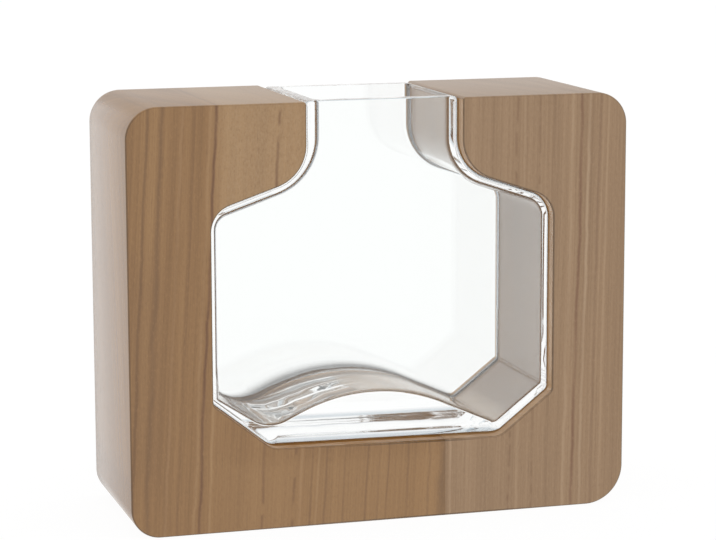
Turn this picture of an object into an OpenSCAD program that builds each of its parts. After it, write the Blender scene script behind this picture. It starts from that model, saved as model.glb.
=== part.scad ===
// A flat glass vase with a bottle's outline, standing in a bottle-shaped
// opening that is cut right through a solid wooden block.
// Width runs along X, depth along Y with the front at minus Y, height along Z.
// The origin is the middle of the block's underside.

/* [Wooden block] */
// Width of the block across its front
block_w = 194; // [170:1:230]
// Height of the block
block_h = 160; // [146:1:190]
// Depth of the block from front to back
block_d = 70; // [50:1:90]
// Radius of the block's two top corners
top_corner_r = 12; // [4:0.5:20]
// Radius of the block's bottom left corner
left_foot_r = 11; // [4:0.5:20]
// Radius of the block's bottom right corner
right_foot_r = 15; // [4:0.5:20]
// Radius to which the sharp edges of the wood are sanded
sanded_r = 0.8; // [0.3:0.1:2]
// How far the glue line between the two staves lies right of the middle
glue_line_x = 24.6; // [-20:0.2:26]

/* [Opening in the block] */
// How far the opening lies right of the block's middle
opening_shift = 1.1; // [0:0.1:4]
// Height of the ledge that the vase stands on, at its middle
ledge_h = 30.1; // [22:0.1:40]
// How far the ledge falls from its left end to its right end
ledge_fall = 1.1; // [0:0.1:3]
// Width of the flat ledge between the two slopes at its ends
ledge_w = 89.5; // [70:0.1:102]
// How far the ledge lies right of the opening's middle
ledge_shift = 0.8; // [0:0.1:3]
// Height that the left slope climbs from the ledge to the upright side
left_slope_h = 18.4; // [12:0.1:26]
// Height that the right slope climbs from the ledge to the upright side
right_slope_h = 15.8; // [12:0.1:26]
// Width of the opening round the body of the vase
body_w = 133.2; // [120:0.1:146]
// Height that each shoulder climbs from the side to the neck
shoulder_h = 12.3; // [8:0.1:18]
// Width of the opening round the neck of the vase
neck_w = 60.6; // [54:0.1:72]
// Height of the neck, from where it meets the lines of the shoulders to the top
neck_h = 27.2; // [24:0.1:34]
// Radius between the neck and the shoulder
neck_corner_r = 16; // [4:0.5:19]
// Radius between the shoulder and the side
shoulder_corner_r = 10.5; // [6:0.5:14]
// Radius between the side and the slope
slope_corner_r = 3; // [2:0.5:8]
// Radius between the slope and the ledge
ledge_corner_r = 8; // [5.5:0.5:12]

/* [Glass vase] */
// Gap between the glass and the wood round the sides
fit_gap = 0.3; // [0.2:0.05:0.6]
// Gap between the base of the glass and the ledge
ledge_gap = 0.1; // [0.05:0.05:0.3]
// How far the glass stands back from the front and from the back of the block
setback = 5; // [2:0.5:8]
// How far the rim of the glass lies below the top of the block
rim_drop = 0.1; // [0:0.1:3]
// Thickness of the front and back walls
front_wall = 4.5; // [3:0.1:6]
// Thickness of the glass at the top of the two slopes
slope_wall = 1.6; // [1.2:0.1:4]
// Thickness of the left wall of the body
left_wall = 2.5; // [1:0.1:4]
// Thickness of the right wall of the body
right_wall = 1.1; // [1:0.1:4]
// Thickness of the glass over the left shoulder
left_shoulder_wall = 3.3; // [1.2:0.1:4.5]
// Thickness of the glass over the right shoulder
right_shoulder_wall = 2.2; // [1.2:0.1:4.5]
// Thickness of the left wall of the neck
left_neck_wall = 5.2; // [1.5:0.1:7]
// Thickness of the right wall of the neck
right_neck_wall = 2.2; // [1.5:0.1:7]
// Where the left valley of the floor lies, as a share of the ledge's half width
left_valley_share = 0.985; // [0.9:0.005:1.02]
// Height of the left valley above the ledge, where the lines of floor and slope meet
left_valley_h = 5.3; // [3.5:0.1:7]
// Radius at the bottom of the left valley
left_valley_r = 14; // [5:0.5:16]
// Where the right valley of the floor lies, as a share of the ledge's half width
right_valley_share = 1.01; // [0.95:0.005:1.02]
// Height of the right valley above the ledge, where the lines of floor and slope meet
right_valley_h = 2.3; // [2:0.1:6]
// Radius at the bottom of the right valley
right_valley_r = 3; // [2.5:0.5:12]
// Height above the ledge at which the two flanks of the arched floor would meet
crest_h = 24.6; // [18:0.1:27]
// How far the crest of the floor lies left of the opening's middle
crest_shift = 3.4; // [0:0.1:8]
// Radius over the crest of the arched floor
crest_r = 66; // [30:1:72]
// Inner radius where the floor runs up into the front and back walls
floor_round = 2; // [0.8:0.1:2.4]
// Inner radius of the upright corners between the walls of the body
body_round = 1; // [0.4:0.1:1.8]
// Inner radius of the upright corners between the walls of the neck
neck_round = 2.4; // [1:0.1:5]
// Radius inside at the top of the slopes
inner_corner_r = 2; // [1.8:0.1:6]
// Outer radius along the lower front and back edges of the glass
base_round = 4.5; // [1:0.5:5]
// Outer radius along the upright front and back edges of the glass
upright_round = 0.8; // [0.4:0.1:1.6]
// Radius that is ground on the outer edges of the rim
rim_round = 0.5; // [0.2:0.1:1]
// Radius of the two outer corners of the rim, seen from the front
rim_corner_r = 2; // [2:0.5:4]

/* [Hidden] */

// Largest turn between two points of a rounded corner, in degrees
arc_step = 9;
// Longest straight piece in a rounded corner
facet_len = 3.6;
// Steps in the round of an edge that is sanded, and of one that is moulded
sanded_steps = 2;
moulded_steps = 6;
// How far a cut runs past the surface that it opens
overrun = 1;

// Heights of the two ends of the shoulders above the block's underside
neck_z = block_h - neck_h;
shoulder_z = neck_z - shoulder_h;

// The round of the top edges beside the neck leaves room for the sanded edge
arm_corner_r = 1.5 * sanded_r;

// Outer sizes of the glass, and the depth of its hollow
glass_d = block_d - 2 * setback;
rim_z = block_h - rim_drop;
hollow_d = glass_d - 2 * front_wall;

// Vectors in the plane of the front, as [across, up]
function unit(v) = v / norm(v);
function across_up(corner) = [corner[0], corner[1]];
function outward(a, b) = let (run = unit(b - a)) [run[1], -run[0]];
function cross_of(a, b) = a[0] * b[1] - a[1] * b[0];
function turned(v, angle) = [
    v[0] * cos(angle) - v[1] * sin(angle),
    v[0] * sin(angle) + v[1] * cos(angle)
];
function round_the_list(list, i) = list[(i + len(list)) % len(list)];
function blend(a, b, share) = a * (1 - share) + b * share;

// The vector whose parts along the directions n1 and n2 are s1 and s2
function meet(n1, s1, n2, s2) = [
    (s1 * n2[1] - s2 * n1[1]) / cross_of(n1, n2),
    (n1[0] * s2 - n2[0] * s1) / cross_of(n1, n2)
];

// A corner is [across, up, radius]. A path lists its corners anticlockwise as
// seen from the front, and edge i runs from corner i to the next.
function edge_before(path, i) = outward(across_up(round_the_list(path, i - 1)), across_up(path[i]));
function edge_after(path, i) = outward(across_up(path[i]), across_up(round_the_list(path, i + 1)));
function bend_at(path, i) = let (n1 = edge_before(path, i), n2 = edge_after(path, i))
    atan2(cross_of(n1, n2), n1 * n2);

// The path moved inwards by gaps[i] along edge i, with its radii to match
function moved(path, gaps) = [for (i = [0:len(path) - 1])
    let (g1 = round_the_list(gaps, i - 1), g2 = gaps[i],
        shift = meet(edge_before(path, i), g1, edge_after(path, i), g2),
        radius = path[i][2] - sign(bend_at(path, i)) * max(g1, g2))
    [path[i][0] - shift[0], path[i][1] - shift[1], max(radius, 0)]];

// Points round the path. Each is [across, up, inset across, inset up, round],
// where the inset leads to the edge of the flat face and round is the radius
// of the edge there. rounds[i] is the radius along edge i.
function arc_count(bend, radius) = max(2,
    ceil(abs(bend) / arc_step), ceil(abs(bend) * PI / 180 * radius / facet_len));
function corner_points(path, rounds, i) =
    let (radius = path[i][2], n1 = edge_before(path, i), bend = bend_at(path, i),
        reach = radius * tan(abs(bend) / 2),
        start = across_up(path[i]) + turned(n1, -90) * reach,
        centre = start - n1 * radius * sign(bend),
        count = arc_count(bend, radius))
    [for (k = [0:count])
        let (n = turned(n1, bend * k / count),
            w = blend(round_the_list(rounds, i - 1), rounds[i], k / count))
        concat(centre + n * radius * sign(bend), n * w, [w])];
function path_points(path, rounds) = [for (i = [0:len(path) - 1])
    each corner_points(path, rounds, i)];

// What is cut off the back edge all round: a ring whose section is the corner
// outside the rounded edge
function cut_section(p, half, steps) =
    let (n = unit([p[2], p[3]]), w = p[4],
        across = concat([for (k = [0:steps]) -w * (1 - sin(90 * k / steps))], [overrun, overrun, -w]),
        depth = concat([for (k = [0:steps]) half - w * (1 - cos(90 * k / steps))],
            [half - w, half + overrun, half + overrun]))
    [for (k = [0:len(across) - 1])
        [p[0] + n[0] * across[k], depth[k], p[1] + n[1] * across[k]]];
module edge_cut(points, depth, steps) {
    count = len(points);
    sides = steps + 4;
    vertices = [for (p = points) each cut_section(p, depth / 2, steps)];
    skin = [for (i = [0:count - 1], k = [0:sides - 1])
        let (a = i * sides + k, b = i * sides + (k + 1) % sides, next = (i + 1) % count,
            c = next * sides + (k + 1) % sides, d = next * sides + k)
        each [[a, c, b], [a, d, c]]];
    polyhedron(vertices, skin, convexity = 8);
}

// A slab with the path's outline and its front and back edges rounded
module rounded_slab(path, rounds, depth, steps) {
    points = path_points(path, rounds);
    difference() {
        rotate([90, 0, 0])
            linear_extrude(depth, center = true)
                polygon([for (p = points) across_up(p)]);
        edge_cut(points, depth, steps);
        mirror([0, 1, 0]) edge_cut(points, depth, steps);
    }
}

// Corners of the opening from the ledge up to the neck, on one side of its middle
function half_outline(side, middle) = [
    [middle + ledge_shift + side * ledge_w / 2, ledge_h - side * ledge_fall / 2, ledge_corner_r],
    [middle + side * body_w / 2, ledge_h + (side > 0 ? right_slope_h : left_slope_h), slope_corner_r],
    [middle + side * body_w / 2, shoulder_z, shoulder_corner_r],
    [middle + side * neck_w / 2, neck_z, neck_corner_r]
];
function reversed(list) = [for (i = [len(list) - 1:-1:0]) list[i]];
function shoulder_to_ledge(side) = concat(
    [[opening_shift + side * neck_w / 2, block_h, arm_corner_r]],
    reversed(half_outline(side, opening_shift))
);

block_path = concat(
    [
        [-block_w / 2, 0, left_foot_r],
        [block_w / 2, 0, right_foot_r],
        [block_w / 2, block_h, top_corner_r]
    ],
    shoulder_to_ledge(1),
    reversed(shoulder_to_ledge(-1)),
    [[-block_w / 2, block_h, top_corner_r]]
);
block_rounds = [for (corner = block_path) sanded_r];

// The outline of the opening with a top edge at the given height
function bottle_path(top_z, top_r) = concat(
    [half_outline(-1, 0)[0]],
    half_outline(1, 0),
    [[neck_w / 2, top_z, top_r], [-neck_w / 2, top_z, top_r]],
    [for (i = [3:-1:1]) half_outline(-1, 0)[i]]
);
function per_edge(base, sides, top) = [
    base, sides, sides, sides, sides, top, sides, sides, sides, sides
];

// The outside of the glass keeps clear of the ledge and of the rest by its gaps
glass_path = moved(bottle_path(rim_z, rim_corner_r + fit_gap), per_edge(ledge_gap, fit_gap, 0));
glass_rounds = per_edge(base_round, upright_round, rim_round);

// The lining is the outside moved in by the walls. It rises above the rim by
// enough to leave no rounded end in the mouth.
lining_path = moved(glass_path, [
    slope_wall, slope_wall, right_wall, right_shoulder_wall, right_neck_wall,
    -2 * neck_round, left_neck_wall, left_shoulder_wall, left_wall, slope_wall
]);
function softened(corner, radius) = [corner[0], corner[1], max(corner[2], radius)];

// The hollow is the lining over an arched floor, which runs from the left
// valley over the crest to the right one
hollow_path = concat(
    [
        [ledge_shift - left_valley_share * ledge_w / 2, ledge_h + left_valley_h, left_valley_r],
        [-crest_shift, ledge_h + crest_h, crest_r],
        [ledge_shift + right_valley_share * ledge_w / 2, ledge_h + right_valley_h, right_valley_r],
        softened(lining_path[2], inner_corner_r)
    ],
    [for (i = [3, 4]) lining_path[i]],
    [for (i = [5, 6]) softened(lining_path[i], neck_round)],
    [for (i = [7, 8]) lining_path[i]],
    [softened(lining_path[9], inner_corner_r)]
);
slope_inside_round = (floor_round + body_round) / 2;
shoulder_inside_round = (body_round + neck_round) / 2;
hollow_rounds = [
    floor_round, floor_round, slope_inside_round, body_round, shoulder_inside_round, neck_round,
    neck_round, neck_round, shoulder_inside_round, body_round, slope_inside_round
];

// The block between two upright planes square to its front
module block_between(left, right) {
    intersection() {
        rounded_slab(block_path, block_rounds, block_d, sanded_steps);
        translate([left, -block_d / 2 - overrun, -overrun])
            cube([right - left, block_d + 2 * overrun, block_h + 2 * overrun]);
    }
}

module left_stave() {
    color([0.56, 0.44, 0.33])
        block_between(-block_w / 2 - overrun, glue_line_x);
}

module right_stave() {
    color([0.58, 0.48, 0.37])
        block_between(glue_line_x, block_w / 2 + overrun);
}

module glass_vase() {
    color([0.86, 0.92, 0.92, 0.4])
        translate([opening_shift, 0, 0])
            difference() {
                rounded_slab(glass_path, glass_rounds, glass_d, moulded_steps);
                rounded_slab(hollow_path, hollow_rounds, hollow_d, moulded_steps);
            }
}

left_stave();
right_stave();
glass_vase();
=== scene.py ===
"""Looks of a flat glass vase that stands in a bottle-shaped opening in a wooden block.

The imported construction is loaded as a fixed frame. The two wooden staves and the
glass are rebuilt at a finer resolution by the same rule as the construction: an
outline of rounded corners, a depth, and edges rounded by their own radii.
"""

from __future__ import annotations

import logging
import math
from dataclasses import dataclass, field, replace
from enum import Enum

import bmesh
import bpy
from mathutils import Matrix, Vector


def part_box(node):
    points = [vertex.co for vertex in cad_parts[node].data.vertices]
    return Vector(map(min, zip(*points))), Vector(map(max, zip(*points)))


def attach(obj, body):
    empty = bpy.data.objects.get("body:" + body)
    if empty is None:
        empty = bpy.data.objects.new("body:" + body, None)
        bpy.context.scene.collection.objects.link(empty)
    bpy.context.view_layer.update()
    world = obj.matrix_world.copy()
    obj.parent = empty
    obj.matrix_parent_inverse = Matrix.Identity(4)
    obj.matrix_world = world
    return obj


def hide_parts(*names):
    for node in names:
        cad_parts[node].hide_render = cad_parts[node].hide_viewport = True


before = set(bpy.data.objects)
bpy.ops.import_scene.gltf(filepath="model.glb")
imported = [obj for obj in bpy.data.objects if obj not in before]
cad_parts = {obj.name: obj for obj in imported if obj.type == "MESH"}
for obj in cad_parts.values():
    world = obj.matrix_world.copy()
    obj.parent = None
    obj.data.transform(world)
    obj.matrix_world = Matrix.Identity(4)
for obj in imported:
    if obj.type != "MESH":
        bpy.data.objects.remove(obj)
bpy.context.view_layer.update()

LOG = logging.getLogger("vase")
MM = 0.001
MERGE_DISTANCE = 0.001 * MM
SAW_TOLERANCE = 0.0001 * MM
Pair = tuple[float, float]
Triple = tuple[float, float, float]


class Side(Enum):
    """Which side of the glue line a stave lies on."""

    LEFT = "left"
    RIGHT = "right"


# Node trees


class Wire:
    """A node's output, on which sums are written as Python expressions."""

    def __init__(self, bench: "Bench", socket: bpy.types.NodeSocket) -> None:
        """Keeps the socket and the bench that adds nodes to its tree."""
        self.bench = bench
        self.socket = socket

    def __add__(self, other: "Wire | float") -> "Wire":
        """The sum of the two values."""
        return self.bench.maths("ADD", self, other)

    __radd__ = __add__

    def __sub__(self, other: "Wire | float") -> "Wire":
        """This value less the other."""
        return self.bench.maths("SUBTRACT", self, other)

    def __rsub__(self, other: "Wire | float") -> "Wire":
        """The other value less this one."""
        return self.bench.maths("SUBTRACT", other, self)

    def __mul__(self, other: "Wire | float") -> "Wire":
        """The product of the two values."""
        return self.bench.maths("MULTIPLY", self, other)

    __rmul__ = __mul__

    def __truediv__(self, other: "Wire | float") -> "Wire":
        """This value over the other."""
        return self.bench.maths("DIVIDE", self, other)

    def __abs__(self) -> "Wire":
        """The value without its sign."""
        return self.bench.maths("ABSOLUTE", self)

    def __lt__(self, other: "Wire | float") -> "Wire":
        """1 where this value is the smaller one, and 0 elsewhere."""
        return self.bench.maths("LESS_THAN", self, other)

    def floor(self) -> "Wire":
        """The value rounded down."""
        return self.bench.maths("FLOOR", self)


class Bench:
    """Adds nodes to one tree, and joins them."""

    def __init__(self, tree: bpy.types.NodeTree) -> None:
        """Keeps the tree that the nodes go into."""
        self.tree = tree

    @staticmethod
    def pick(sockets: bpy.types.bpy_prop_collection, key: "int | str") -> bpy.types.NodeSocket:
        """Finds a socket.

        Args:
            sockets: A node's inputs or outputs.
            key: The socket's place, identifier or name.

        Returns:
            The socket. Of several with that name, the first that is in use.
        """
        if isinstance(key, int):
            return sockets[key]
        return next(s for s in sockets if s.enabled and key in (s.identifier, s.name))

    def node(
        self, kind: str, settings: "dict | None" = None, inputs: "dict | None" = None, out: "int | str" = 0
    ) -> Wire:
        """Adds a node.

        Args:
            kind: The node's type.
            settings: Its properties, which are set first. "stops" gives a ramp's stops.
            inputs: A value or a Wire for each socket that is named.
            out: The output that is handed back.

        Returns:
            The chosen output.
        """
        made = self.tree.nodes.new(kind)
        for name, value in (settings or {}).items():
            if name == "stops":
                self.set_stops(made.color_ramp, value)
            else:
                setattr(made, name, value)
        for key, value in (inputs or {}).items():
            socket = self.pick(made.inputs, key)
            for one in value if isinstance(value, list) else [value]:
                if isinstance(one, Wire):
                    self.tree.links.new(one.socket, socket)
                else:
                    socket.default_value = one
        return Wire(self, self.pick(made.outputs, out) if len(made.outputs) else None)

    @staticmethod
    def set_stops(ramp: bpy.types.ColorRamp, stops: "list[tuple[float, tuple]]") -> None:
        """Puts a ramp's stops, each a place and a colour."""
        while len(ramp.elements) < len(stops):
            ramp.elements.new(0.5)
        for element, (place, colour) in zip(ramp.elements, stops):
            element.position = place
            element.color = (*colour[:3], 1.0)

    def other_output(self, wire: Wire, key: "int | str") -> Wire:
        """Another output of the node that a wire comes from."""
        return Wire(self, self.pick(wire.socket.node.outputs, key))

    def maths(self, operation: str, *values: "Wire | float") -> Wire:
        """Adds a Math node for the operation on the values."""
        return self.node("ShaderNodeMath", {"operation": operation}, dict(enumerate(values)))

    def parts(self, vector: Wire) -> "tuple[Wire, Wire, Wire]":
        """The three parts of a vector."""
        x = self.node("ShaderNodeSeparateXYZ", None, {0: vector}, "X")
        return x, self.other_output(x, "Y"), self.other_output(x, "Z")

    def fade(
        self, value: "Wire | float", start: "Wire | float", end: "Wire | float",
        low: float = 0.0, high: float = 1.0,
    ) -> Wire:
        """Goes smoothly from low to high as the value goes from start to end."""
        return self.node(
            "ShaderNodeMapRange", {"interpolation_type": "SMOOTHSTEP"},
            {"Value": value, "From Min": start, "From Max": end, "To Min": low, "To Max": high},
        )

    def vector(self, x: "Wire | float", y: "Wire | float", z: "Wire | float") -> Wire:
        """A vector from its three parts."""
        return self.node("ShaderNodeCombineXYZ", None, {0: x, 1: y, 2: z})

    def noise(self, where: Wire, detail: float = 2.0, roughness: float = 0.5) -> Wire:
        """Noise from 0 to 1 with one lump per unit of the vector."""
        return self.node(
            "ShaderNodeTexNoise", None,
            {"Vector": where, "Scale": 1.0, "Detail": detail, "Roughness": roughness},
        )

    def mix(self, factor: "Wire | float", a: "Wire | tuple", b: "Wire | tuple", blend: str = "MIX") -> Wire:
        """Mixes two colours."""
        first, second = (c if isinstance(c, Wire) else (*c[:3], 1.0) for c in (a, b))
        return self.node(
            "ShaderNodeMix", {"data_type": "RGBA", "blend_type": blend},
            {"Factor_Float": factor, "A_Color": first, "B_Color": second}, "Result_Color",
        )


def new_tree(name: str, inputs: "dict[str, str]") -> "tuple[Bench, Wire]":
    """Starts a Geometry Nodes tree.

    Args:
        name: The tree's name.
        inputs: The socket type of each named input after the geometry.

    Returns:
        The bench, and the input node's first output.
    """
    tree = bpy.data.node_groups.new(name, "GeometryNodeTree")
    tree.interface.new_socket("Geometry", in_out="INPUT", socket_type="NodeSocketGeometry")
    for label, kind in inputs.items():
        tree.interface.new_socket(label, in_out="INPUT", socket_type=kind)
    tree.interface.new_socket("Geometry", in_out="OUTPUT", socket_type="NodeSocketGeometry")
    bench = Bench(tree)
    return bench, bench.node("NodeGroupInput")


def new_material(name: str) -> "tuple[bpy.types.Material, Bench]":
    """Starts a material with no nodes, and the bench that fills it."""
    made = bpy.data.materials.new(name)
    made.use_nodes = True
    made.node_tree.nodes.clear()
    return made, Bench(made.node_tree)


def run_tree(source: bpy.types.Object, tree: bpy.types.NodeTree, values: dict, name: str) -> bpy.types.Mesh:
    """Evaluates a tree on an object and hands back the plain mesh that it makes.

    Args:
        source: The object whose mesh goes in.
        tree: The Geometry Nodes tree.
        values: A value for each named input of the tree.
        name: The new mesh's name.

    Returns:
        The mesh. The modifier is removed again.
    """
    modifier = source.modifiers.new(tree.name, "NODES")
    modifier.node_group = tree
    for item in tree.interface.items_tree:
        if item.in_out == "INPUT" and item.name in values:
            modifier[item.identifier] = values[item.name]
    bpy.context.view_layer.update()
    graph = bpy.context.evaluated_depsgraph_get()
    mesh = bpy.data.meshes.new_from_object(source.evaluated_get(graph), depsgraph=graph)
    mesh.name = name
    source.modifiers.remove(modifier)
    return mesh


# Outlines


@dataclass(frozen=True)
class Corner:
    """A rounded corner of an outline, in metres across and up."""

    across: float
    up: float
    radius: float

    @property
    def place(self) -> Vector:
        """The sharp corner's place."""
        return Vector((self.across, self.up))


@dataclass(frozen=True)
class OutlinePoint:
    """A point on an outline with the way in to the edge of the flat face."""

    place: Vector
    inset: Vector
    front_round: float
    back_round: float


@dataclass
class Outline:
    """A closed line of rounded corners, anticlockwise as seen from the front.

    Edge i runs from corner i to the next one. Its edge towards the front is
    rounded to front_rounds[i], and the one towards the back to back_rounds[i].
    """

    corners: "list[Corner]"
    front_rounds: "list[float]" = field(default_factory=list)
    back_rounds: "list[float]" = field(default_factory=list)
    arc_step: float = math.radians(3.0)
    longest_facet: float = 1.4 * MM
    least_facets: int = 4

    def outward(self, i: int) -> Vector:
        """The direction out of the outline across edge i."""
        count = len(self.corners)
        run = (self.corners[(i + 1) % count].place - self.corners[i % count].place).normalized()
        return Vector((run.y, -run.x))

    def bend(self, i: int) -> float:
        """The signed turn at corner i."""
        a, b = self.outward(i - 1), self.outward(i)
        return math.atan2(a.x * b.y - a.y * b.x, a.dot(b))

    def moved_in(self, gaps: "list[float]") -> "list[Corner]":
        """Moves every edge inwards.

        Args:
            gaps: How far each edge moves.

        Returns:
            The new corners, with radii to match.
        """
        moved = []
        for i, corner in enumerate(self.corners):
            a, b, g, h = self.outward(i - 1), self.outward(i), gaps[i - 1], gaps[i]
            cross = a.x * b.y - a.y * b.x
            shift = Vector(((g * b.y - h * a.y) / cross, (a.x * h - b.x * g) / cross))
            radius = corner.radius - math.copysign(max(g, h), self.bend(i))
            place = corner.place - shift
            moved.append(Corner(place.x, place.y, max(radius, 0.0)))
        return moved

    def corner_points(self, i: int) -> "list[OutlinePoint]":
        """The points along the arc of corner i."""
        radius, bend, normal = self.corners[i].radius, self.bend(i), self.outward(i - 1)
        turn = math.copysign(1.0, bend)
        start = self.corners[i].place - Vector((-normal.y, normal.x)) * radius * math.tan(abs(bend) / 2)
        centre = start - normal * radius * turn
        count = max(
            self.least_facets,
            math.ceil(abs(bend) / self.arc_step),
            math.ceil(abs(bend) * radius / self.longest_facet),
        )
        points = []
        for k in range(count + 1):
            share = k / count
            out = Matrix.Rotation(bend * share, 2) @ normal
            front, back = (
                rounds[i - 1] * (1 - share) + rounds[i] * share
                for rounds in (self.front_rounds, self.back_rounds)
            )
            points.append(OutlinePoint(centre + out * radius * turn, -out, front, back))
        return points

    def points(self) -> "list[OutlinePoint]":
        """All the points round the outline."""
        return [point for i in range(len(self.corners)) for point in self.corner_points(i)]

    def as_object(self, name: str, shift: float) -> bpy.types.Object:
        """Makes an object whose vertices are the outline's points.

        Args:
            name: The object's name.
            shift: How far the outline lies right of the middle.

        Returns:
            The object, with the attributes inset, front_round and back_round.
        """
        points = self.points()
        mesh = bpy.data.meshes.new(name)
        mesh.from_pydata([(p.place.x + shift, 0.0, p.place.y) for p in points], [], [])
        inset = mesh.attributes.new("inset", "FLOAT_VECTOR", "POINT")
        inset.data.foreach_set("vector", [c for p in points for c in (p.inset.x, 0.0, p.inset.y)])
        for label in ("front_round", "back_round"):
            size = mesh.attributes.new(label, "FLOAT", "POINT")
            size.data.foreach_set("value", [getattr(p, label) for p in points])
        made = bpy.data.objects.new(name, mesh)
        bpy.context.scene.collection.objects.link(made)
        return made


class SlabTree:
    """Geometry Nodes that give an outline a depth and round its front and back edges."""

    def __init__(self) -> None:
        """Builds the tree."""
        self.bench, self.given = new_tree(
            "edge_rounded_slab",
            {"Depth": "NodeSocketFloat", "Edge steps": "NodeSocketInt", "Finish": "NodeSocketMaterial"},
        )
        bench = self.bench
        self.count = bench.node(
            "GeometryNodeAttributeDomainSize", {"component": "MESH"}, {"Geometry": self.given}, "Point Count"
        )
        self.half_depth = self.input("Depth") / 2.0
        sheets = [self.skin(), self.cap(front=True), self.cap(front=False)]
        joined = bench.node("GeometryNodeJoinGeometry", None, {"Geometry": sheets})
        merged = bench.node(
            "GeometryNodeMergeByDistance", None, {"Geometry": joined, "Distance": MERGE_DISTANCE}
        )
        real = bench.node("GeometryNodeRealizeInstances", None, {"Geometry": merged})
        dressed = bench.node(
            "GeometryNodeSetMaterial", None, {"Geometry": real, "Material": self.input("Finish")}
        )
        bench.node("NodeGroupOutput", None, {"Geometry": dressed})

    def input(self, name: str) -> Wire:
        """One of the tree's own inputs."""
        return self.bench.other_output(self.given, name)

    def sample(self, value: Wire, index: Wire, kind: str) -> Wire:
        """Reads a value of the outline at one of its points."""
        return self.bench.node(
            "GeometryNodeSampleIndex", {"data_type": kind, "domain": "POINT"},
            {"Geometry": self.given, "Value": value, "Index": index},
        )

    def outline_at(self, index: Wire) -> "list[Wire]":
        """The place, the way in and the front and back edges' radii at a point of the outline."""
        found = [self.sample(self.bench.node("GeometryNodeInputPosition"), index, "FLOAT_VECTOR")]
        for name, kind in (("inset", "FLOAT_VECTOR"), ("front_round", "FLOAT"), ("back_round", "FLOAT")):
            value = self.bench.node("GeometryNodeInputNamedAttribute", {"data_type": kind}, {"Name": name})
            found.append(self.sample(value, index, kind))
        return found

    def placed(self, geometry: Wire, index: Wire, behind: "Wire | float", angle: "Wire | float") -> Wire:
        """Moves vertices to the outline and round its edge.

        Args:
            geometry: The vertices.
            index: The point of the outline that each vertex belongs to.
            behind: 1 for the back edge and 0 for the front one.
            angle: How far round the edge from the flat face, up to a quarter turn.

        Returns:
            The geometry with its vertices in place.
        """
        bench = self.bench
        place, inset, front, back = self.outline_at(index)
        size = front + (back - front) * behind
        inwards = size * (1.0 - bench.maths("SINE", angle))
        reach = self.half_depth - size * (1.0 - bench.maths("COSINE", angle))
        scaled = bench.node(
            "ShaderNodeVectorMath", {"operation": "SCALE"}, {"Vector": inset, "Scale": inwards}
        )
        flat = bench.node("ShaderNodeVectorMath", {"operation": "ADD"}, {0: place, 1: scaled})
        depth = bench.vector(0.0, reach * (behind * 2.0 - 1.0), 0.0)
        where = bench.node("ShaderNodeVectorMath", {"operation": "ADD"}, {0: flat, 1: depth})
        return bench.node("GeometryNodeSetPosition", None, {"Geometry": geometry, "Position": where})

    def skin(self) -> Wire:
        """The wall all round with its rounded edges, as one grid that closes on itself."""
        bench = self.bench
        steps = self.input("Edge steps")
        rows = steps * 2.0 + 2.0
        grid = bench.node(
            "GeometryNodeMeshGrid", None, {"Vertices X": self.count + 1.0, "Vertices Y": rows}
        )
        index = bench.node("GeometryNodeInputIndex")
        column = ((index + 0.5) / rows).floor()
        row = index - column * rows
        behind = (steps + 0.5) < row
        from_face = row + behind * (rows - 1.0 - row * 2.0)
        angle = from_face / steps * (math.pi / 2)
        wall = self.placed(grid, bench.maths("MODULO", column, self.count), behind, angle)
        return bench.node("GeometryNodeSetShadeSmooth", None, {"Geometry": wall, "Shade Smooth": True})

    def cap(self, front: bool) -> Wire:
        """The flat face at the front or at the back."""
        bench = self.bench
        disc = bench.node("GeometryNodeMeshCircle", {"fill_type": "NGON"}, {"Vertices": self.count})
        index = bench.node("GeometryNodeInputIndex")
        face = self.placed(disc, index, 0.0 if front else 1.0, 0.0)
        return bench.node("GeometryNodeSetShadeSmooth", None, {"Geometry": face, "Shade Smooth": False})

    def build(self, outline: Outline, depth: float, steps: int, finish: bpy.types.Material,
              name: str, shift: float) -> bpy.types.Mesh:
        """Makes a slab.

        Args:
            outline: The slab's outline with the radii of its edges.
            depth: The slab's depth from front to back.
            steps: How many facets round an edge.
            finish: The slab's material.
            name: The new mesh's name.
            shift: How far the slab lies right of the middle.

        Returns:
            A closed mesh whose faces point outwards.
        """
        source = outline.as_object(name + "_outline", shift)
        values = {"Depth": depth, "Edge steps": steps, "Finish": finish}
        mesh = run_tree(source, self.bench.tree, values, name)
        bpy.data.objects.remove(source)
        face_outwards(mesh)
        return mesh


def face_outwards(mesh: bpy.types.Mesh) -> None:
    """Turns a closed mesh's faces outwards."""
    work = bmesh.new()
    work.from_mesh(mesh)
    bmesh.ops.recalc_face_normals(work, faces=work.faces)
    work.to_mesh(mesh)
    work.free()


def as_piece(mesh: bpy.types.Mesh, body: str, node: str) -> bpy.types.Object:
    """Makes a finished piece of the vase from a mesh.

    Args:
        mesh: The piece's mesh, in the frame's metres.
        body: The body that the piece moves with.
        node: The node of the construction that it stands for.

    Returns:
        The piece's object.
    """
    piece = bpy.data.objects.new(mesh.name, mesh)
    bpy.context.scene.collection.objects.link(piece)
    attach(piece, body)
    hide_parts(node)
    LOG.info("%s: %d faces", piece.name, len(mesh.polygons))
    return piece


# Finishes


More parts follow.
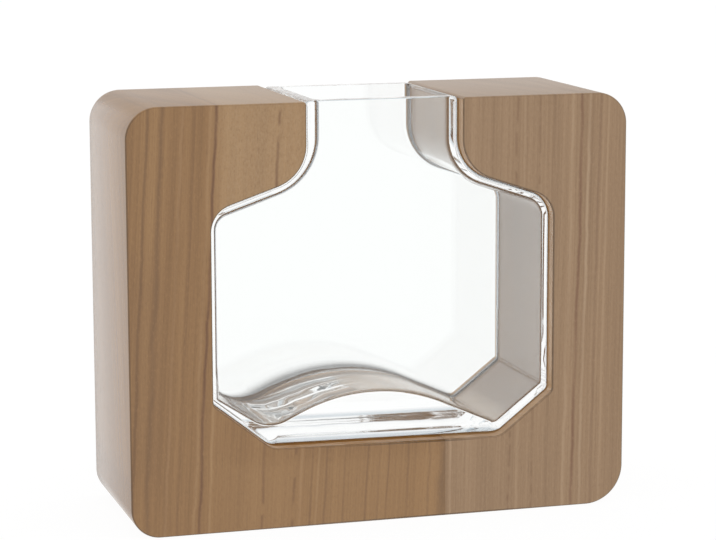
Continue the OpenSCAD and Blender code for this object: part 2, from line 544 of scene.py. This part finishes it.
@dataclass(frozen=True)
class Streak:
    """A line of darker or lighter wood that runs up the stave."""

    at: float
    width: float
    strength: float
    tone: Triple
    broken: float = 0.0
    ragged_share: float = 1.6
    ragged_density: Triple = (40.0, 900.0, 60.0)
    uneven_density: Pair = (700.0, 25.0)
    uneven_fade: "tuple[float, float, float, float]" = (0.3, 0.6, 0.6, 1.2)
    dash_density: Triple = (90.0, 500.0, 140.0)
    dash_fade: float = 0.12
    top_loss: float = 0.6

    def mask(self, bench: Bench, x: Wire, z: Wire, across: Wire, top: Wire, seed: float) -> Wire:
        """Where the streak shows.

        Args:
            bench: The material's bench.
            x: The place from left to right.
            z: The height.
            across: The place across the grain.
            top: 1 on faces that look up or down.
            seed: The stave's own number.

        Returns:
            The streak's strength over the surface.
        """
        wide, apart, high = self.ragged_density
        ragged = bench.noise(bench.vector(x * wide, seed + self.at * apart, z * high))
        off = abs(across - self.at + (ragged - 0.5) * self.width * self.ragged_share)
        mask = bench.fade(off, 0.0, self.width, self.strength, 0.0)
        apart, high = self.uneven_density
        uneven = bench.noise(bench.vector(self.at * apart, seed, z * high), 1.0)
        mask = mask * bench.fade(uneven, *self.uneven_fade) * (1.0 - top * self.top_loss)
        if self.broken:
            wide, apart, high = self.dash_density
            dashes = bench.noise(bench.vector(x * wide, self.at * apart, z * high), 1.0)
            mask = mask * bench.fade(dashes, self.broken, self.broken + self.dash_fade)
        return mask


@dataclass(frozen=True)
class Patch:
    """A part of the wood with a tone of its own and fine speckles."""

    middle: Pair
    reach: Pair
    tone: Triple
    strength: float
    speckle: float = 0.0
    speckle_density: Pair = (1500.0, 900.0)
    speckle_noise: Pair = (2.0, 0.6)
    border: Pair = (0.6, 1.2)

    def laid(self, bench: Bench, colour: Wire, x: Wire, y: Wire, z: Wire) -> Wire:
        """Gives this part of the wood its own tone."""
        off = bench.maths(
            "MAXIMUM", abs(x - self.middle[0]) / self.reach[0], abs(z - self.middle[1]) / self.reach[1]
        )
        wide, high = self.speckle_density
        grit = bench.noise(bench.vector(x * wide, y * wide, z * high), *self.speckle_noise)
        share = bench.fade(off, *self.border, self.strength, 0.0) * (1.0 + (grit - 0.5) * self.speckle)
        return bench.mix(share, colour, self.tone)


@dataclass(frozen=True)
class OpeningZones:
    """Where the faces of the opening lie. Each pair is a mask's full and faded end."""

    half_width: float = 68.5 * MM
    foot: float = 20.0 * MM
    top: float = 159.0 * MM
    covered: Pair = (29.5 * MM, 30.5 * MM)
    bare: Pair = (33.8 * MM, 34.4 * MM)
    ledge_top: Pair = (33.0 * MM, 37.0 * MM)
    ledge_depth: Pair = (23.0 * MM, 26.0 * MM)

    def faces(self, bench: Bench, x: Wire, y: Wire, z: Wire) -> "tuple[Wire, Wire]":
        """Masks of the faces behind the glass, and of those as far as the sanded edge."""
        beside = (abs(x) < self.half_width) * (z < self.top) * (1.0 - (z < self.foot))
        behind = beside * bench.fade(abs(y), *self.covered, 1.0, 0.0)
        return behind, beside * bench.fade(abs(y), *self.bare, 1.0, 0.0)

    def ledge(self, bench: Bench, y: Wire, z: Wire) -> Wire:
        """A mask of the ledge under the hollow."""
        return bench.fade(z, *self.ledge_top, 1.0, 0.0) * bench.fade(abs(y), *self.ledge_depth, 1.0, 0.0)


@dataclass(frozen=True)
class WoodFinish:
    """Sanded and thinly oiled wood with upright grain.

    Densities are lumps of noise per metre, and pairs named fade are where a
    noise starts and stops to count. The render settings carry no light through
    the glass, so the faces of the opening glow faintly in their own colours.
    The three strengths named glow were set.
    """

    name: str
    light: Triple
    mid: Triple
    dark: Triple
    lean: float
    streaks: "tuple[Streak, ...]"
    patches: "tuple[Patch, ...]" = ()
    seed: float = 0.0
    zones: OpeningZones = OpeningZones()

    ring_slant: float = 0.35
    wander: float = 3.0 * MM
    wander_density: Triple = (22.0, 9.0, 7.0)
    ramp_places: Triple = (0.22, 0.5, 0.78)
    band_seed: float = 3.0
    band_density: Pair = (120.0, 2.5)
    band_noise: Pair = (3.0, 0.55)
    line_seed: float = 7.0
    line_density: Pair = (900.0, 5.0)
    line_noise: Pair = (3.0, 0.6)
    fibre_density: Pair = (3200.0, 60.0)
    fibre_noise: Pair = (2.0, 0.6)
    fibre_fade: Pair = (0.35, 0.75)
    fibre_shade: float = 0.25
    pore_density: Pair = (2600.0, 90.0)
    pore_fade: Pair = (0.66, 0.78)
    pore_shade: float = 0.25
    pore_tone: float = 0.45
    grit_density: Pair = (1400.0, 500.0)
    grit_noise: Pair = (2.0, 0.7)
    grit_dark_fade: Pair = (0.5, 0.8)
    grit_light_fade: Pair = (0.2, 0.5)
    grit_shade: float = 0.35
    bump_strength: float = 0.25
    bump_distance: float = 0.1 * MM
    bump_shares: Triple = (0.35, 0.5, 0.4)

    top_fade: Pair = (0.5, 0.9)
    side_fade: Pair = (0.5, 0.9)
    arris_start: Pair = (0.1, 0.3)
    arris_end: Pair = (0.85, 0.99)
    arris_upwards: Pair = (0.3, 0.6)
    # Painted shade on the rounded edges: how strong it is, and how dark.
    arris_painted_shade: float = 0.5
    arris_painted_shade_tone: float = 0.3

    front_roughness: float = 0.25
    side_roughness: float = 0.14
    end_roughness: float = 0.36
    roughness_spread: float = 0.12
    ior: float = 1.5
    lining_glow: Triple = (0.3, 0.22, 0.1)
    ledge_glow: Triple = (0.8, 0.95, 1.25)
    strip_glow: float = 0.55

    def material(self) -> bpy.types.Material:
        """Builds the material."""
        made, bench = new_material(self.name)
        place = bench.node("ShaderNodeTexCoord", out="Object")
        x, y, z = bench.parts(place)
        sideways, facing, upwards = bench.parts(bench.other_output(place, "Normal"))
        forwards, top = abs(facing), bench.fade(abs(upwards), *self.top_fade)

        wide, deep, high = self.wander_density
        drift = bench.noise(bench.vector(x * wide + self.seed, y * deep, z * high)) - 0.5
        across = x - z * math.tan(self.lean) + drift * self.wander
        ring = across + y * self.ring_slant
        bands = self.rings(bench, ring, z, self.band_seed, self.band_density, self.band_noise)
        lines = self.rings(bench, ring, z, self.line_seed, self.line_density, self.line_noise)
        wide, high = self.fibre_density
        fibres = bench.noise(bench.vector(across * wide, y * wide, z * high), *self.fibre_noise)

        stops = list(zip(self.ramp_places, (self.dark, self.mid, self.light)))
        colour = bench.node("ShaderNodeValToRGB", {"stops": stops}, {"Fac": bands * 0.5 + lines * 0.5})
        colour = bench.mix(bench.fade(fibres, *self.fibre_fade, 0.0, self.fibre_shade), colour, self.dark)
        for patch in self.patches:
            colour = patch.laid(bench, colour, x, y, z)
        for streak in self.streaks:
            mask = streak.mask(bench, x, z, across, top, self.seed)
            colour = bench.mix(mask, colour, streak.tone)

        wide, high = self.pore_density
        pore_field = bench.noise(bench.vector(across * wide, y * wide, z * high + self.seed), 1.0)
        pores = bench.fade(pore_field, *self.pore_fade)
        colour = bench.mix(pores * self.pore_shade, colour, tuple(self.pore_tone * c for c in self.dark))
        wide, high = self.grit_density
        grit = bench.noise(bench.vector(x * wide, y * wide, z * high + self.seed), *self.grit_noise)
        colour = bench.mix(bench.fade(grit, *self.grit_dark_fade, 0.0, self.grit_shade), colour, self.dark)
        colour = bench.mix(bench.fade(grit, *self.grit_light_fade, self.grit_shade, 0.0), colour, self.light)
        # Painted shade: the sanded rounded edges, except those that look up, are darkened towards the dark
        # wood colour.
        arris = bench.fade(forwards, *self.arris_start) * bench.fade(forwards, *self.arris_end, 1.0, 0.0)
        arris = arris * bench.fade(upwards, *self.arris_upwards, 1.0, 0.0)
        colour = bench.mix(arris * self.arris_painted_shade, colour, tuple(self.arris_painted_shade_tone * c for c in self.dark))

        of_fibres, of_pores, of_lines = self.bump_shares
        height = fibres * of_fibres - pores * of_pores + lines * of_lines
        bump = bench.node(
            "ShaderNodeBump", None,
            {"Strength": self.bump_strength, "Distance": self.bump_distance, "Height": height},
        )
        side_step = self.side_roughness - self.front_roughness
        rough = self.front_roughness + side_step * bench.fade(abs(sideways), *self.side_fade)
        rough = rough + (self.end_roughness - rough) * top
        rough = rough + (fibres - 0.5) * self.roughness_spread
        surface = self.surface(bench, colour, rough, bump, (x, y, z))
        bench.node("ShaderNodeOutputMaterial", None, {"Surface": surface})
        return made

    def rings(
        self, bench: Bench, ring: Wire, z: Wire, seed: float,
        density: Pair, noise: Pair,
    ) -> Wire:
        """Noise along the growth rings, with its detail and roughness."""
        return bench.noise(bench.vector(ring * density[0], self.seed + seed, z * density[1]), *noise)

    def surface(
        self, bench: Bench, colour: Wire, rough: Wire, bump: Wire, place: "tuple[Wire, Wire, Wire]"
    ) -> Wire:
        """The open wood, whose faces in the opening glow a little as painted light, and the matt wood behind
        the glass, which glows as painted light.
        """
        x, y, z = place
        behind, strip = self.zones.faces(bench, x, y, z)
        # Painted light: the faces of the opening, as far as the sanded edge, glow a little in their own
        # colour.
        open_wood = bench.node(
            "ShaderNodeBsdfPrincipled", None,
            {"Base Color": colour, "Roughness": rough, "Normal": bump, "IOR": self.ior,
             "Emission Color": bench.mix(strip * self.strip_glow, (0.0, 0.0, 0.0), colour),
             "Emission Strength": 1.0},
        )
        # Painted light: the wood behind the glass glows in its own colour, more on the ledge.
        glow = bench.mix(self.zones.ledge(bench, y, z), self.lining_glow, self.ledge_glow)
        covered_wood = bench.node(
            "ShaderNodeBsdfPrincipled", None,
            {"Base Color": colour, "Roughness": 1.0, "Specular IOR Level": 0.0,
             "Emission Color": bench.mix(1.0, colour, glow, "MULTIPLY"), "Emission Strength": 1.0},
        )
        return bench.node("ShaderNodeMixShader", None, {0: behind, 1: open_wood, 2: covered_wood})


@dataclass(frozen=True)
class GlassFinish:
    """Clear moulded glass.

    Painted shade darkens the rounded edges and the hollow's faces, and a painted
    shadow darkens the low part of the hollow's back. They were set. Faces are told
    apart by how much they face the front, from 0 to 1.
    """

    name: str = "clear_glass"
    tint: Triple = (0.985, 0.995, 0.99)
    # Painted shade on the rounded edges and the hollow's faces, and painted shadow low on the hollow's back.
    edge_painted_shade: Triple = (0.5, 0.57, 0.62)
    hollow_painted_shade: Triple = (0.3, 0.34, 0.38)
    low_back_painted_shadow: Triple = (0.1, 0.1, 0.1)
    ior: float = 1.5
    hollow_reach: float = 25.6 * MM
    back_start: float = 12.0 * MM
    low_top: float = 68.0 * MM
    round_start: Pair = (0.05, 0.3)
    round_end: Pair = (0.8, 0.97)
    low_spread: Pair = (0.2, 0.03)
    wave_height: float = 0.55 * MM
    wave_density: Triple = (70.0, 30.0, 60.0)
    wave_slant: float = 40.0
    wave_detail: float = 1.0
    wave_top: Pair = (50.0 * MM, 62.0 * MM)
    wave_level: Pair = (0.3, 0.7)

    def material(self) -> bpy.types.Material:
        """Builds the material."""
        made, bench = new_material(self.name)
        place = bench.node("ShaderNodeTexCoord", out="Object")
        x, y, z = bench.parts(place)
        facing = abs(bench.parts(bench.other_output(place, "Normal"))[1])
        low = (y < self.hollow_reach) * (1.0 - (y < self.back_start)) * (z < self.low_top)
        inner = abs(y) < self.hollow_reach
        # Painted shade: the glass colour darkens on rounded edges, more on the hollow's faces, and most as
        # painted shadow low on the back.
        tone = bench.mix(low, bench.mix(inner, self.edge_painted_shade, self.hollow_painted_shade), self.low_back_painted_shadow)
        full, flat = self.round_end
        sooner, later = self.low_spread
        edge = bench.fade(facing, *self.round_start)
        edge = edge * bench.fade(facing, full - low * sooner, flat + low * later, 1.0, 0.0)
        wide, deep, high = self.wave_density
        lumps = bench.noise(
            bench.vector(x * wide + z * self.wave_slant, y * deep, z * high), self.wave_detail
        )
        floor = bench.fade(z, *self.wave_top, 1.0, 0.0) * bench.fade(facing, *self.wave_level, 1.0, 0.0)
        bump = bench.node(
            "ShaderNodeBump", None,
            {"Strength": 1.0, "Distance": self.wave_height, "Height": lumps * inner * floor},
        )
        surface = bench.node(
            "ShaderNodeBsdfPrincipled", None,
            {"Base Color": bench.mix(edge, self.tint, tone), "Roughness": 0.0, "IOR": self.ior,
             "Transmission Weight": 1.0, "Normal": bump},
        )
        bench.node("ShaderNodeOutputMaterial", None, {"Surface": surface})
        return made


# Sub-assemblies


@dataclass
class Opening:
    """The bottle-shaped opening, whose outline the block and the glass share.

    It was cut by hand, so the ledge falls a little to the right and the two
    slopes differ.
    """

    shift: float = 1.1 * MM
    ledge_height: float = 30.1 * MM
    ledge_fall: float = 1.1 * MM
    ledge_width: float = 89.5 * MM
    ledge_shift: float = 0.8 * MM
    left_slope: float = 18.4 * MM
    right_slope: float = 15.8 * MM
    body_width: float = 133.2 * MM
    body_height: float = 90.4 * MM
    shoulder_height: float = 12.3 * MM
    neck_width: float = 60.6 * MM
    neck_radius: float = 16.0 * MM
    shoulder_radius: float = 10.5 * MM
    slope_radius: float = 3.0 * MM
    ledge_radius: float = 8.0 * MM

    def half(self, side: int, middle: float = 0.0) -> "list[Corner]":
        """The corners on one side, from the ledge up to the neck.

        Args:
            side: 1 for the right side and -1 for the left one.
            middle: Where the opening's middle lies.

        Returns:
            Four corners.
        """
        ledge = middle + self.ledge_shift + side * self.ledge_width / 2
        body, neck = middle + side * self.body_width / 2, middle + side * self.neck_width / 2
        slope_top = self.ledge_height + (self.right_slope if side > 0 else self.left_slope)
        shoulder = self.ledge_height + self.body_height
        return [
            Corner(ledge, self.ledge_height - side * self.ledge_fall / 2, self.ledge_radius),
            Corner(body, slope_top, self.slope_radius),
            Corner(body, shoulder, self.shoulder_radius),
            Corner(neck, shoulder + self.shoulder_height, self.neck_radius),
        ]

    def bottle(self, top: float, top_radius: float) -> "list[Corner]":
        """The closed outline with a top edge at a height."""
        half_neck = self.neck_width / 2
        return [
            self.half(-1)[0], *self.half(1),
            Corner(half_neck, top, top_radius), Corner(-half_neck, top, top_radius),
            *reversed(self.half(-1)[1:]),
        ]


@dataclass
class WoodenBlock:
    """The block, sawn from two staves that are glued side by side."""

    opening: Opening
    slabs: SlabTree
    top_radius: float = 12.0 * MM
    left_foot_radius: float = 11.0 * MM
    right_foot_radius: float = 15.0 * MM
    sanded_radius: float = 0.8 * MM
    arm_share: float = 1.5
    edge_steps: int = 5
    low: Vector = field(default_factory=lambda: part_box("left_stave")[0])
    high: Vector = field(default_factory=lambda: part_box("right_stave")[1])

    @property
    def glue_line(self) -> float:
        """Where the two staves meet."""
        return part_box("right_stave")[0].x

    def outline(self) -> Outline:
        """The outline of the whole block with its opening."""
        arm = self.arm_share * self.sanded_radius
        middle, top, half_neck = self.opening.shift, self.high.z, self.opening.neck_width / 2
        right = [Corner(middle + half_neck, top, arm), *reversed(self.opening.half(1, middle))]
        left = [*self.opening.half(-1, middle), Corner(middle - half_neck, top, arm)]
        corners = [
            Corner(self.low.x, self.low.z, self.left_foot_radius),
            Corner(self.high.x, self.low.z, self.right_foot_radius),
            Corner(self.high.x, top, self.top_radius),
            *right, *left,
            Corner(self.low.x, top, self.top_radius),
        ]
        sanded = [self.sanded_radius] * len(corners)
        return Outline(corners, sanded, sanded)

    def stave(self, side: Side, finish: bpy.types.Material) -> bpy.types.Object:
        """Builds one stave.

        Args:
            side: The stave's side of the glue line.
            finish: Its material.

        Returns:
            The stave's piece.
        """
        name = f"{side.value}_stave"
        depth = self.high.y - self.low.y
        mesh = self.slabs.build(self.outline(), depth, self.edge_steps, finish, name + "_wood", 0.0)
        self.saw(mesh, side)
        return as_piece(mesh, "block", name)

    def saw(self, mesh: bpy.types.Mesh, side: Side) -> None:
        """Cuts the mesh at the glue line, keeps the stave's side and closes the cut."""
        work = bmesh.new()
        work.from_mesh(mesh)
        cut = bmesh.ops.bisect_plane(
            work, geom=[*work.verts, *work.edges, *work.faces], dist=SAW_TOLERANCE,
            plane_co=(self.glue_line, 0, 0), plane_no=(1, 0, 0),
            clear_outer=side is Side.LEFT, clear_inner=side is Side.RIGHT,
        )
        edges = [e for e in cut["geom_cut"] if isinstance(e, bmesh.types.BMEdge)]
        bmesh.ops.contextual_create(work, geom=edges)
        bmesh.ops.recalc_face_normals(work, faces=work.faces)
        work.to_mesh(mesh)
        work.free()


@dataclass(frozen=True)
class Rounds:
    """Radii of the edges towards the front or the back, from the floor up to the rim."""

    floor: float
    slope: float
    body: float
    shoulder: float
    neck: float
    rim: float

    def per_edge(self) -> "list[float]":
        """The radius for each edge of the bottle outline."""
        upwards = [self.slope, self.body, self.shoulder, self.neck]
        return [self.floor, *upwards, self.rim, *reversed(upwards)]


@dataclass
class GlassVase:
    """The glass vessel: a moulded slab with a hollow that stands on an arched floor.

    Its walls are uneven, as read from the photograph. The base stands clear of
    the ledge by air_film, the same gap that the construction has, so that the
    sliding glass never overlaps the tilted ledge.
    """

    opening: Opening
    slabs: SlabTree
    fit_gap: float = 0.3 * MM
    air_film: float = 0.1 * MM
    front_wall: float = 4.5 * MM
    slope_wall: float = 1.6 * MM
    left_wall: float = 2.5 * MM
    right_wall: float = 1.1 * MM
    left_shoulder_wall: float = 3.3 * MM
    right_shoulder_wall: float = 2.2 * MM
    left_neck_wall: float = 5.2 * MM
    right_neck_wall: float = 2.2 * MM
    left_valley_share: float = 0.985
    left_valley: float = 5.3 * MM
    left_valley_radius: float = 14.0 * MM
    right_valley_share: float = 1.01
    right_valley: float = 2.3 * MM
    right_valley_radius: float = 3.0 * MM
    crest: float = 24.6 * MM
    crest_shift: float = 3.4 * MM
    crest_radius: float = 66.0 * MM
    outer: Rounds = Rounds(4.5 * MM, 0.8 * MM, 0.8 * MM, 1.4 * MM, 2.0 * MM, 0.5 * MM)
    inner_front: Rounds = Rounds(2.0 * MM, 1.5 * MM, 1.0 * MM, 1.7 * MM, 2.4 * MM, 2.4 * MM)
    inner_back: Rounds = Rounds(3.0 * MM, 2.0 * MM, 1.0 * MM, 1.7 * MM, 2.4 * MM, 2.4 * MM)
    left_back_round: float = 8.0 * MM
    inner_corner: float = 2.0 * MM
    rim_corner: float = 2.0 * MM
    crease: float = math.radians(30.0)
    edge_steps: int = 14
    low: Vector = field(default_factory=lambda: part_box("glass_vase")[0])
    high: Vector = field(default_factory=lambda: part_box("glass_vase")[1])

    def outside(self) -> Outline:
        """The outside's outline."""
        bottle = Outline(self.opening.bottle(self.high.z, self.rim_corner + self.fit_gap))
        gaps = [self.air_film, *[self.fit_gap] * 4, 0.0, *[self.fit_gap] * 4]
        return Outline(bottle.moved_in(gaps), self.outer.per_edge(), self.outer.per_edge())

    def lining(self) -> "list[Corner]":
        """The outside's corners moved in by the walls, and on above the rim."""
        lining = self.outside().moved_in([
            self.slope_wall, self.slope_wall, self.right_wall, self.right_shoulder_wall, self.right_neck_wall,
            -2 * self.inner_front.rim,
            self.left_neck_wall, self.left_shoulder_wall, self.left_wall, self.slope_wall,
        ])
        for i, least in ((2, self.inner_corner), (9, self.inner_corner),
                         (5, self.inner_front.rim), (6, self.inner_front.rim)):
            lining[i] = replace(lining[i], radius=max(lining[i].radius, least))
        return lining

    def hollow(self) -> Outline:
        """The hollow's outline, whose floor runs from valley over crest to valley."""
        ledge, half_ledge = self.opening.ledge_height, self.opening.ledge_width / 2
        left, right = (
            self.opening.ledge_shift + half_ledge * share
            for share in (-self.left_valley_share, self.right_valley_share)
        )
        corners = [
            Corner(left, ledge + self.left_valley, self.left_valley_radius),
            Corner(-self.crest_shift, ledge + self.crest, self.crest_radius),
            Corner(right, ledge + self.right_valley, self.right_valley_radius),
            *self.lining()[2:],
        ]
        front = [self.inner_front.floor, *self.inner_front.per_edge()]
        return Outline(corners, front, [self.left_back_round, *self.inner_back.per_edge()])

    def piece(self, finish: bpy.types.Material) -> bpy.types.Object:
        """Builds the vessel.

        Args:
            finish: Its material.

        Returns:
            The vessel's piece.
        """
        depth = self.high.y - self.low.y
        shift = self.opening.shift
        outside = self.slabs.build(self.outside(), depth, self.edge_steps, finish, "glass_outside", shift)
        inside = self.slabs.build(
            self.hollow(), depth - 2 * self.front_wall, self.edge_steps, finish, "glass_inside", shift
        )
        mesh = self.hollowed(outside, inside)
        return as_piece(mesh, "vase", "glass_vase")

    def hollowed(self, outside: bpy.types.Mesh, inside: bpy.types.Mesh) -> bpy.types.Mesh:
        """Takes the hollow out of the outer slab, and shades sharp edges as sharp."""
        bench, given = new_tree("hollowed_glass", {"Hollow": "NodeSocketObject"})
        hollow = bench.node(
            "GeometryNodeObjectInfo", {"transform_space": "ORIGINAL"},
            {"Object": bench.other_output(given, "Hollow")}, "Geometry",
        )
        cut = bench.node(
            "GeometryNodeMeshBoolean", {"operation": "DIFFERENCE", "solver": "EXACT"},
            {"Mesh 1": given, "Mesh 2": hollow},
        )
        turn = bench.node("GeometryNodeInputMeshEdgeAngle", out="Unsigned Angle")
        sharp = bench.maths("GREATER_THAN", turn, self.crease)
        creased = bench.node(
            "GeometryNodeSetShadeSmooth", {"domain": "EDGE"},
            {"Geometry": cut, "Selection": sharp, "Shade Smooth": False},
        )
        real = bench.node("GeometryNodeRealizeInstances", None, {"Geometry": creased})
        bench.node("NodeGroupOutput", None, {"Geometry": real})
        holders = []
        for mesh in (outside, inside):
            holder = bpy.data.objects.new(mesh.name, mesh)
            bpy.context.scene.collection.objects.link(holder)
            holders.append(holder)
        made = run_tree(holders[0], bench.tree, {"Hollow": holders[1]}, "glass_vessel")
        for holder in holders:
            bpy.data.objects.remove(holder)
        return made


@dataclass
class Studio:
    """The pale floor, the soft light and the camera at the photograph's view."""

    camera_place: Triple = (-279.59 * MM, -951.42 * MM, 255.30 * MM)
    yaw: float = math.radians(16.403)
    pitch: float = math.radians(9.424)
    roll: float = math.radians(-0.189)
    focal_pixels: float = 2601.77
    frame_width: int = 716
    sensor: float = 36.0
    clip: Pair = (0.01, 100.0)
    floor_size: float = 12.0
    ambient: float = 1.0
    floor_shade: float = 0.06
    floor_glow: float = 0.95
    light_bounces: int = 48

    def camera(self) -> None:
        """Puts the camera where the photograph was taken."""
        data = bpy.data.cameras.new("camera")
        data.sensor_width = self.sensor
        data.lens = self.focal_pixels / self.frame_width * self.sensor
        data.clip_start, data.clip_end = self.clip
        view = bpy.data.objects.new("camera", data)
        turn = (
            Matrix.Rotation(-self.yaw, 4, "Z")
            @ Matrix.Rotation(math.pi / 2 - self.pitch, 4, "X")
            @ Matrix.Rotation(self.roll, 4, "Z")
        )
        view.matrix_world = Matrix.Translation(self.camera_place) @ turn
        bpy.context.scene.collection.objects.link(view)
        bpy.context.scene.camera = view

    def floor(self) -> None:
        """Lays the floor that the block stands on."""
        half = self.floor_size / 2
        mesh = bpy.data.meshes.new("floor")
        corners = [(-half, -half, 0.0), (half, -half, 0.0), (half, half, 0.0), (-half, half, 0.0)]
        mesh.from_pydata(corners, [], [(0, 1, 2, 3)])
        paint, bench = new_material("pale_floor")
        surface = bench.node(
            "ShaderNodeBsdfPrincipled", None,
            {"Base Color": (*[self.floor_shade] * 3, 1.0), "Roughness": 1.0, "Specular IOR Level": 0.0,
             "Emission Color": (1.0, 1.0, 1.0, 1.0), "Emission Strength": self.floor_glow},
        )
        bench.node("ShaderNodeOutputMaterial", None, {"Surface": surface})
        mesh.materials.append(paint)
        floor = bpy.data.objects.new("floor", mesh)
        bpy.context.scene.collection.objects.link(floor)

    def light(self) -> None:
        """Surrounds the vase with soft white light."""
        world = bpy.data.worlds.new("studio")
        bpy.context.scene.world = world
        world.use_nodes = True
        world.node_tree.nodes.clear()
        bench = Bench(world.node_tree)
        white = (1.0, 1.0, 1.0, 1.0)
        glow = bench.node("ShaderNodeBackground", None, {"Color": white, "Strength": self.ambient})
        bench.node("ShaderNodeOutputWorld", None, {"Surface": glow})
        bpy.context.scene.view_settings.view_transform = "Standard"
        for name in ("max_bounces", "transmission_bounces", "glossy_bounces", "diffuse_bounces"):
            setattr(bpy.context.scene.cycles, name, self.light_bounces)

    def build(self) -> None:
        """Sets up the whole studio."""
        self.camera()
        self.floor()
        self.light()


LEFT_WOOD = WoodFinish(
    name="left_stave_wood",
    light=(0.365, 0.209, 0.0875), mid=(0.27, 0.145, 0.057), dark=(0.174, 0.088, 0.033),
    lean=math.radians(3.0), seed=11.0,
    streaks=(
        Streak(-97.2 * MM, 1.0 * MM, 0.54, (0.14, 0.07, 0.03)),
        Streak(-91.8 * MM, 1.5 * MM, 0.46, (0.15, 0.078, 0.035)),
        Streak(-84.5 * MM, 0.9 * MM, 0.26, (0.4, 0.24, 0.12)),
        Streak(-80.0 * MM, 0.9 * MM, 0.23, (0.16, 0.08, 0.035)),
        Streak(-74.0 * MM, 1.1 * MM, 0.36, (0.4, 0.24, 0.115)),
        Streak(-72.0 * MM, 1.0 * MM, 0.72, (0.13, 0.055, 0.025)),
        Streak(-68.3 * MM, 0.9 * MM, 0.36, (0.4, 0.245, 0.12)),
        Streak(-47.8 * MM, 1.0 * MM, 0.67, (0.14, 0.062, 0.028), broken=0.4),
        Streak(-35.8 * MM, 0.9 * MM, 0.54, (0.15, 0.07, 0.03), broken=0.4),
        Streak(-33.2 * MM, 0.8 * MM, 0.31, (0.4, 0.24, 0.12)),
        Streak(-29.4 * MM, 0.8 * MM, 0.46, (0.16, 0.08, 0.035)),
        Streak(-27.0 * MM, 0.8 * MM, 0.36, (0.4, 0.245, 0.12)),
        Streak(-23.8 * MM, 0.8 * MM, 0.41, (0.16, 0.08, 0.035)),
        Streak(-16.6 * MM, 0.8 * MM, 0.31, (0.16, 0.08, 0.035)),
        Streak(-7.4 * MM, 0.7 * MM, 0.41, (0.16, 0.08, 0.035)),
        Streak(-2.6 * MM, 0.6 * MM, 0.41, (0.16, 0.08, 0.035)),
        Streak(1.0 * MM, 0.6 * MM, 0.41, (0.16, 0.08, 0.035)),
        Streak(9.0 * MM, 0.8 * MM, 0.36, (0.16, 0.08, 0.035)),
        Streak(17.3 * MM, 0.8 * MM, 0.36, (0.16, 0.08, 0.035)),
        Streak(23.5 * MM, 3.5 * MM, 0.54, (0.16, 0.09, 0.045)),
    ),
    patches=(
        Patch((-45.0 * MM, 142.0 * MM), (19.0 * MM, 26.0 * MM), (0.43, 0.285, 0.155), 0.5, 1.4),
        Patch((-15.0 * MM, 12.0 * MM), (52.0 * MM, 15.0 * MM), (0.4, 0.235, 0.105), 0.2),
        Patch((-91.0 * MM, 62.0 * MM), (6.5 * MM, 48.0 * MM), (0.2, 0.105, 0.045), 0.35),
    ),
)
RIGHT_WOOD = WoodFinish(
    name="right_stave_wood",
    light=(0.394, 0.2565, 0.148), mid=(0.296, 0.1845, 0.1), dark=(0.207, 0.1215, 0.0624),
    lean=math.radians(1.0), seed=29.0,
    streaks=(
        Streak(25.6 * MM, 0.7 * MM, 0.46, (0.47, 0.32, 0.2)),
        Streak(50.1 * MM, 0.9 * MM, 0.54, (0.17, 0.085, 0.04), broken=0.38),
        Streak(53.4 * MM, 0.9 * MM, 0.26, (0.44, 0.3, 0.18)),
        Streak(59.4 * MM, 0.8 * MM, 0.31, (0.18, 0.095, 0.045), broken=0.42),
        Streak(65.6 * MM, 0.9 * MM, 0.26, (0.18, 0.1, 0.05)),
        Streak(72.3 * MM, 1.0 * MM, 0.36, (0.45, 0.31, 0.19)),
        Streak(75.9 * MM, 1.0 * MM, 0.67, (0.17, 0.078, 0.038)),
        Streak(79.0 * MM, 1.0 * MM, 0.46, (0.47, 0.33, 0.21)),
        Streak(83.4 * MM, 1.0 * MM, 0.36, (0.19, 0.105, 0.055)),
        Streak(86.8 * MM, 0.8 * MM, 0.23, (0.44, 0.3, 0.18)),
    ),
)


def main() -> None:
    """Builds the studio and the vase."""
    logging.basicConfig(level=logging.INFO, format="%(name)s: %(message)s")
    Studio().build()
    slabs = SlabTree()
    opening = Opening()
    block = WoodenBlock(opening, slabs)
    block.stave(Side.LEFT, LEFT_WOOD.material())
    block.stave(Side.RIGHT, RIGHT_WOOD.material())
    GlassVase(opening, slabs).piece(GlassFinish().material())


if __name__ == "__main__":
    main()
